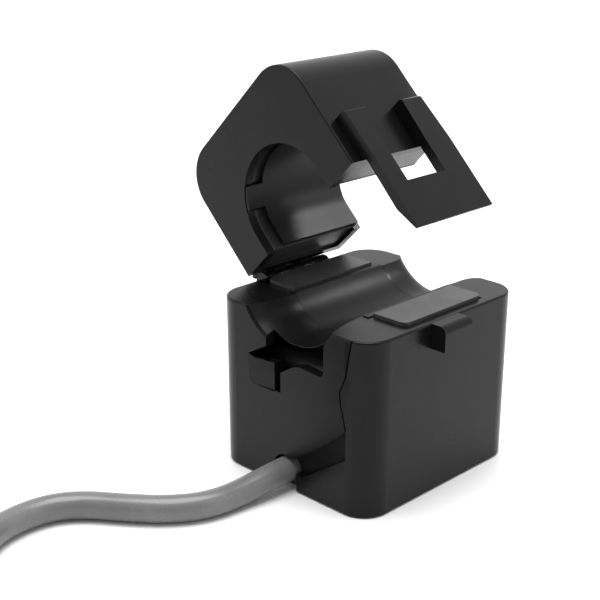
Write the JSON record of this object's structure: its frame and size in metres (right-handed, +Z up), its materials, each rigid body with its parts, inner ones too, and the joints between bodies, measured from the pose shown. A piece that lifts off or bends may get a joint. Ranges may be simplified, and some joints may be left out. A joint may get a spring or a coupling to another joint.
{
  "type": "split-core current transformer",
  "caption": "Clip-on current transformer with a hinged half-core lid shown open, a round channel for the conductor, a snap latch and a grey lead.",
  "frame": {"origin": "centre of the flat underside of the base", "axes": "+Z up, away from the underside; +Y along the conductor channel, away from the face where the cable leaves; +X towards the latch, the hinge is at -X"},
  "size_m": [0.0763, 0.1294, 0.0613],
  "materials": {
    "housing": "black moulded flame-retardant plastic, fine satin gloss",
    "latch": "the same black plastic",
    "cover": "black plastic, matt",
    "liner": "black plastic",
    "core": "ground light grey pole faces",
    "bobbin": "black nylon",
    "winding": "enamelled copper wire",
    "tape": "black polyester tape",
    "tinned_pin": "tinned",
    "lead_white": "white insulation",
    "lead_black": "black insulation",
    "steel": "bright steel",
    "cable": "grey round jacket, soft sheen",
    "tie": "black nylon",
    "ferrule": "tinned crimp"
  },
  "bodies": {
    "base": {"base_shell": "housing", "bottom_cover": "cover", "channel_liner": "liner", "lower_core": "core", "bobbin": "bobbin", "secondary_winding": "winding", "winding_tape": "tape", "terminal_pins": "tinned_pin", "lead_wire_s1": "lead_white", "lead_wire_s2": "lead_black", "cable_clamp": "cover", "hinge_pin": "steel", "cable_jacket": "cable", "cable_coil": "cable", "cable_tie": "tie", "cable_tail": "cable", "wire_end_s1": "lead_white", "wire_end_s2": "lead_black", "end_ferrules": "ferrule"},
    "lid": {"lid_shell": "housing", "lid_liner": "liner", "upper_core": "core", "core_spring": "steel", "latch_tongue": "latch"}
  },
  "joints": [
    {"name": "lid_hinge", "type": "hinge", "parent": "base", "child": "lid", "pos_m": [-0.0166, 0, 0.0261], "axis": [0, -1, 0], "range_deg": [-45, 50], "deforming": ["latch_tongue"]}
  ]
}
